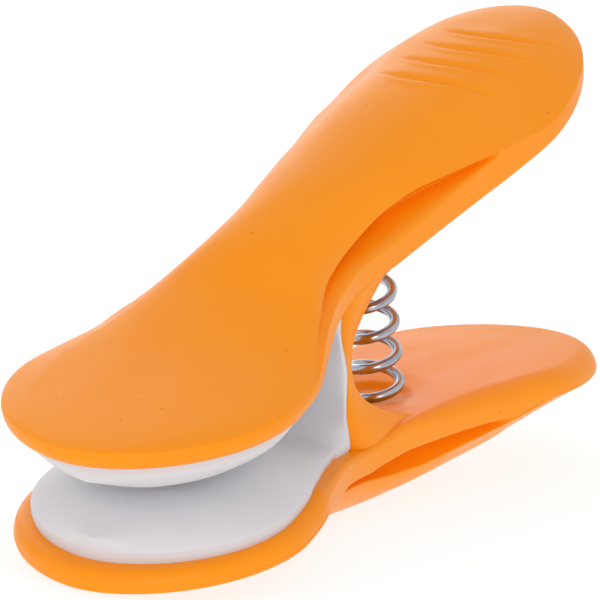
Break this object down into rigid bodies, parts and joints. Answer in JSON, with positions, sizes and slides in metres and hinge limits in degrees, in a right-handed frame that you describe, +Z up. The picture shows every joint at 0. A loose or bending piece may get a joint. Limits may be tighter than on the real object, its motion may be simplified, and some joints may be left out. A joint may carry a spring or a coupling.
{
  "type": "spring clamp",
  "caption": "Hand-squeezed spring clamp: two domed arms on a moulded living hinge, soft-lined oval jaws, a coil spring between the handles.",
  "frame": {"origin": "on the table, under the middle of the clamp's box, with the clamp lying on the tip of its lower jaw and on the round back under its hinge", "axes": "+X from the jaws to the handles along the table, +Y across the clamp, +Z up; the hinge line is parallel to Y"},
  "size_m": [0.0936, 0.0292, 0.0469],
  "materials": {
    "orange_plastic": "satin moulded polypropylene",
    "soft_lining": "soft matte white elastomer",
    "spring_wire": "bright plated spring steel"
  },
  "bodies": {
    "lower": {"lower_arm": "orange_plastic", "lower_jaw_lining": "soft_lining", "living_hinge": "orange_plastic", "hinge_lining": "soft_lining", "spring": "spring_wire"},
    "upper": {"upper_arm": "orange_plastic", "upper_jaw_lining": "soft_lining"}
  },
  "joints": [
    {"name": "jaw_hinge", "type": "hinge", "parent": "lower", "child": "upper", "pos_m": [-0.0077, 0, 0.01604], "axis": [0, 1, 0], "range_deg": [0, 30], "stiffness_Nm_per_rad": 1.2, "springref_deg": -8.59, "deforming": ["spring", "living_hinge", "hinge_lining"]}
  ]
}
